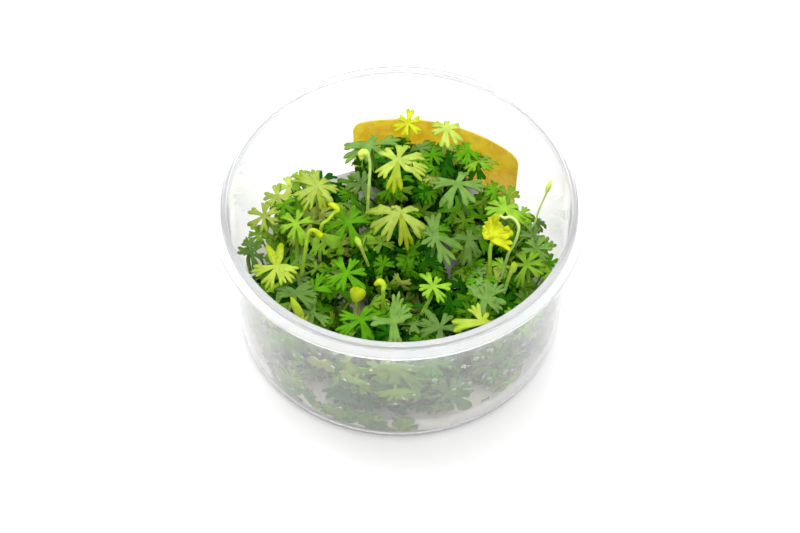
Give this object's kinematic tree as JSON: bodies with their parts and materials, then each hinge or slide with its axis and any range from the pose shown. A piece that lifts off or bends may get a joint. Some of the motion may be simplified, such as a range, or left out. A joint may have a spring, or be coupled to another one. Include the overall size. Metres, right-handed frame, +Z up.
{
  "type": "tissue culture river buttercup",
  "caption": "Open round clear plastic cup with clumps of river buttercup grown in tissue culture: divided leaves on thin stalks over a layer of beige gel, and a blank label behind.",
  "frame": {"origin": "middle of the cup's underside, on the surface that it stands on", "axes": "+Z up through the cup's mouth, +Y away from the pictured side towards the label, +X to that side's right"},
  "size_m": [0.1, 0.1, 0.049],
  "materials": {
    "clear_cup_plastic": "crystal clear, hazy with condensation low down",
    "label_paper": "mottled ochre, satin",
    "nutrient_gel": "moist, cloudy",
    "undergrowth": "dense small leaves and stalks",
    "lime_leaf": "fresh leaf, satin",
    "green_leaf": "fresh leaf, satin",
    "blue_green_leaf": "older leaf, waxy bloom",
    "yellow_young_leaf": "young leaf, satin"
  },
  "bodies": {
    "root": {"cup": "clear_cup_plastic", "label": "label_paper", "gel": "nutrient_gel", "clump_back": "undergrowth", "clump_back_left": "undergrowth", "clump_front_left": "undergrowth", "clump_front": "undergrowth", "clump_front_right": "undergrowth", "clump_back_right": "undergrowth", "clump_middle": "undergrowth", "leaf_back_lime": "lime_leaf", "leaf_back_far": "lime_leaf", "leaf_back_top": "yellow_young_leaf", "leaf_back_blue": "blue_green_leaf", "leaf_back_grey": "blue_green_leaf", "leaf_back_bright": "green_leaf", "leaf_middle_lime": "lime_leaf", "leaf_middle_blue": "blue_green_leaf", "leaf_middle_grey": "blue_green_leaf", "leaf_middle_dark": "green_leaf", "leaf_middle_small": "lime_leaf", "leaf_left_lime": "lime_leaf", "leaf_left_yellow": "lime_leaf", "leaf_left_small": "lime_leaf", "leaf_left_grey": "blue_green_leaf", "leaf_left_mid": "green_leaf", "leaf_left_wall": "blue_green_leaf", "leaf_right_pale": "green_leaf", "leaf_right_blue": "blue_green_leaf", "leaf_right_mid": "green_leaf", "leaf_right_wall": "blue_green_leaf", "leaf_front_blue": "blue_green_leaf", "leaf_front_lime": "lime_leaf", "leaf_front_green": "blue_green_leaf", "leaf_front_mid": "green_leaf", "leaf_front_left": "green_leaf", "young_leaf_hook": "green_leaf", "young_leaf_hood": "yellow_young_leaf", "leaf_wall_lime": "lime_leaf", "leaf_wall_left": "lime_leaf", "leaf_wall_front": "lime_leaf", "leaf_wall_cupped": "lime_leaf", "leaf_wall_star": "blue_green_leaf", "leaf_wall_dark": "green_leaf", "leaf_wall_right": "blue_green_leaf", "leaf_wall_low": "green_leaf", "young_leaf_knob_back": "yellow_young_leaf", "young_leaf_knob_left": "yellow_young_leaf", "young_leaf_stalk_right": "lime_leaf", "young_leaf_small": "yellow_young_leaf", "young_leaf_disc": "yellow_young_leaf", "leaf_front_yellow": "yellow_young_leaf", "young_leaf_right": "lime_leaf", "young_leaf_middle": "lime_leaf", "bud_on_stalk": "lime_leaf"}
  },
  "joints": []
}
